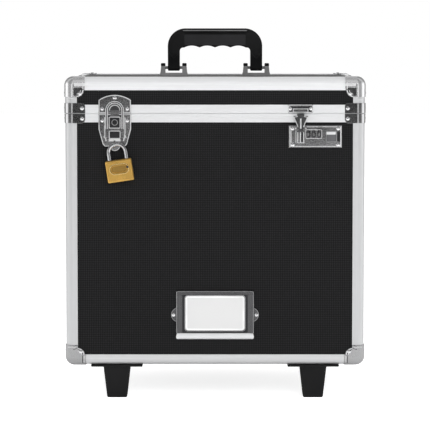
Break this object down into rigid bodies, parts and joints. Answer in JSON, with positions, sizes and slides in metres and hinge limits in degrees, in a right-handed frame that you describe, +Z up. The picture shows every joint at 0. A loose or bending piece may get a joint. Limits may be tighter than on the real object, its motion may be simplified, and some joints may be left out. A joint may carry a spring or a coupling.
{
  "type": "rolling file box",
  "caption": "Metal-edged rolling file box with hinged lid, padlocked hasp, combination latch, fold-down carry handle, label holder, feet, rear wheels and telescopic pull handle.",
  "frame": {"origin": "on the ground below the middle of the whole box", "axes": "+Z up, the latches and label face -Y, +X to the right seen from the front"},
  "size_m": [0.398, 0.3701, 0.4894],
  "materials": {
    "panel": "diamond-embossed black laminate",
    "extrusion": "satin anodised",
    "chrome": "polished plate",
    "rivet": "polished",
    "foot": "moulded black",
    "handle": "satin black moulding",
    "bracket": "zinc grey",
    "cap": "black",
    "steel": "zinc plated",
    "tyre": "matte",
    "hub": "moulded",
    "brass": "brushed",
    "shackle": "hardened steel, plated",
    "lock_core": "satin",
    "dial": "satin with black numbers",
    "tube": "anodised",
    "grip": "moulded black",
    "button": "moulded grey",
    "card": "blank white card"
  },
  "bodies": {
    "case_body": {"body_front_panel": "panel", "body_back_panel": "panel", "body_side_panels": "panel", "body_floor_panel": "panel", "body_corner_posts": "extrusion", "body_base_extrusion": "extrusion", "body_rim_extrusion": "extrusion", "body_base_corners": "chrome", "body_rim_corners": "chrome", "body_rivets": "rivet", "front_feet": "foot", "wheel_brackets": "steel", "wheel_axles": "steel", "file_rails": "extrusion", "file_rail_clips": "steel", "label_frame": "chrome", "hasp_base_plate": "chrome", "latch_pins": "steel", "combo_plate": "chrome", "hinge_body_leaves": "steel", "hinge_pins": "steel", "pull_outer_tubes": "tube", "pull_tube_brackets": "grip"},
    "lid": {"lid_top_panel": "panel", "lid_wall_panels": "panel", "lid_top_extrusion": "extrusion", "lid_corner_posts": "extrusion", "lid_rim_extrusion": "extrusion", "lid_top_corners": "chrome", "lid_rim_corners": "chrome", "lid_rivets": "rivet", "hinge_lid_leaves": "steel", "hasp_strike_plate": "chrome", "combo_strike": "chrome", "handle_brackets": "bracket", "handle_bracket_caps": "cap", "handle_pins": "steel"},
    "carry_handle": {"carry_handle": "handle"},
    "pull_middle": {"pull_middle_tubes": "tube"},
    "pull_inner": {"pull_inner_tubes": "tube", "pull_grip": "grip"},
    "pull_button": {"pull_button": "button"},
    "wheel_left": {"wheel_left_tyre": "tyre", "wheel_left_hub": "hub"},
    "wheel_right": {"wheel_right_tyre": "tyre", "wheel_right_hub": "hub"},
    "hasp_lever": {"hasp_lever": "chrome"},
    "hasp_bail": {"hasp_bail": "chrome"},
    "hasp_key_cylinder": {"hasp_key_cylinder": "lock_core"},
    "padlock_shackle": {"padlock_shackle": "shackle"},
    "padlock_case": {"padlock_case": "brass"},
    "padlock_plug": {"padlock_plug": "lock_core"},
    "combo_lever": {"combo_lever": "chrome"},
    "combo_claw": {"combo_claw": "chrome"},
    "combo_dial_1": {"combo_dial_1": "dial"},
    "combo_dial_2": {"combo_dial_2": "dial"},
    "combo_dial_3": {"combo_dial_3": "dial"},
    "combo_button": {"combo_button": "chrome"},
    "label_card": {"label_card": "card"}
  },
  "joints": [
    {"name": "lid_hinge", "type": "hinge", "parent": "case_body", "child": "lid", "pos_m": [0, 0.16675, 0.377], "axis": [-1, 0, 0], "range_deg": [0, 95]},
    {"name": "carry_handle_fold", "type": "hinge", "parent": "lid", "child": "carry_handle", "pos_m": [0, -0.00175, 0.4355], "axis": [-1, 0, 0], "range_deg": [-88, 88]},
    {"name": "pull_lower_stage", "type": "slide", "parent": "case_body", "child": "pull_middle", "axis": [0, 0, -1], "range_m": [-0.225, 0]},
    {"name": "pull_upper_stage", "type": "slide", "parent": "pull_middle", "child": "pull_inner", "axis": [0, 0, -1], "range_m": [-0.225, 0]},
    {"name": "pull_button_press", "type": "slide", "parent": "pull_inner", "child": "pull_button", "axis": [0, 0, -1], "range_m": [0, 0.003], "stiffness_N_per_m": 400, "springref_m": -0.001},
    {"name": "wheel_left_spin", "type": "hinge", "parent": "case_body", "child": "wheel_left", "pos_m": [-0.142, 0.12325, 0.02], "axis": [1, 0, 0], "continuous": true},
    {"name": "wheel_right_spin", "type": "hinge", "parent": "case_body", "child": "wheel_right", "pos_m": [0.142, 0.12325, 0.02], "axis": [1, 0, 0], "continuous": true},
    {"name": "hasp_lever_turn", "type": "hinge", "parent": "case_body", "child": "hasp_lever", "pos_m": [-0.1313, -0.1705, 0.3765], "axis": [-1, 0, 0], "range_deg": [0, 110]},
    {"name": "hasp_bail_turn", "type": "hinge", "parent": "hasp_lever", "child": "hasp_bail", "pos_m": [-0.1313, -0.17145, 0.3475], "axis": [-1, 0, 0], "range_deg": [-110, 0]},
    {"name": "hasp_key_turn", "type": "hinge", "parent": "hasp_lever", "child": "hasp_key_cylinder", "pos_m": [-0.1313, -0.1705, 0.3655], "axis": [0, -1, 0], "range_deg": [-90, 0]},
    {"name": "padlock_swing", "type": "hinge", "parent": "hasp_lever", "child": "padlock_shackle", "pos_m": [-0.1313, -0.17795, 0.3373], "axis": [-1, 0, 0], "range_deg": [0, 60]},
    {"name": "padlock_open", "type": "slide", "parent": "padlock_shackle", "child": "padlock_case", "axis": [0.1478, 0, -0.989], "range_m": [0, 0.008]},
    {"name": "padlock_key_turn", "type": "hinge", "parent": "padlock_case", "child": "padlock_plug", "pos_m": [-0.12238, -0.17795, 0.28862], "axis": [0.1478, 0, -0.989], "range_deg": [0, 90]},
    {"name": "combo_lever_turn", "type": "hinge", "parent": "case_body", "child": "combo_lever", "pos_m": [0.1121, -0.17315, 0.3588], "axis": [-1, 0, 0], "range_deg": [0, 100]},
    {"name": "combo_claw_turn", "type": "hinge", "parent": "combo_lever", "child": "combo_claw", "pos_m": [0.1121, -0.17435, 0.3536], "axis": [-1, 0, 0], "range_deg": [-100, 0]},
    {"name": "combo_dial_1_turn", "type": "hinge", "parent": "case_body", "child": "combo_dial_1", "pos_m": [0.12215, -0.1661, 0.3503], "axis": [1, 0, 0], "continuous": true},
    {"name": "combo_dial_2_turn", "type": "hinge", "parent": "case_body", "child": "combo_dial_2", "pos_m": [0.1293, -0.1661, 0.3503], "axis": [1, 0, 0], "continuous": true},
    {"name": "combo_dial_3_turn", "type": "hinge", "parent": "case_body", "child": "combo_dial_3", "pos_m": [0.13645, -0.1661, 0.3503], "axis": [1, 0, 0], "continuous": true},
    {"name": "combo_button_slide", "type": "slide", "parent": "case_body", "child": "combo_button", "axis": [1, 0, 0], "range_m": [0, 0.004], "stiffness_N_per_m": 400, "springref_m": -0.001},
    {"name": "label_card_slide", "type": "slide", "parent": "case_body", "child": "label_card", "axis": [0, 0, 1], "range_m": [0, 0.06]}
  ],
  "couplings": [
    {"joint": "hasp_bail_turn", "follows": "hasp_lever_turn", "ratio": -1},
    {"joint": "combo_claw_turn", "follows": "combo_lever_turn", "ratio": -1}
  ]
}
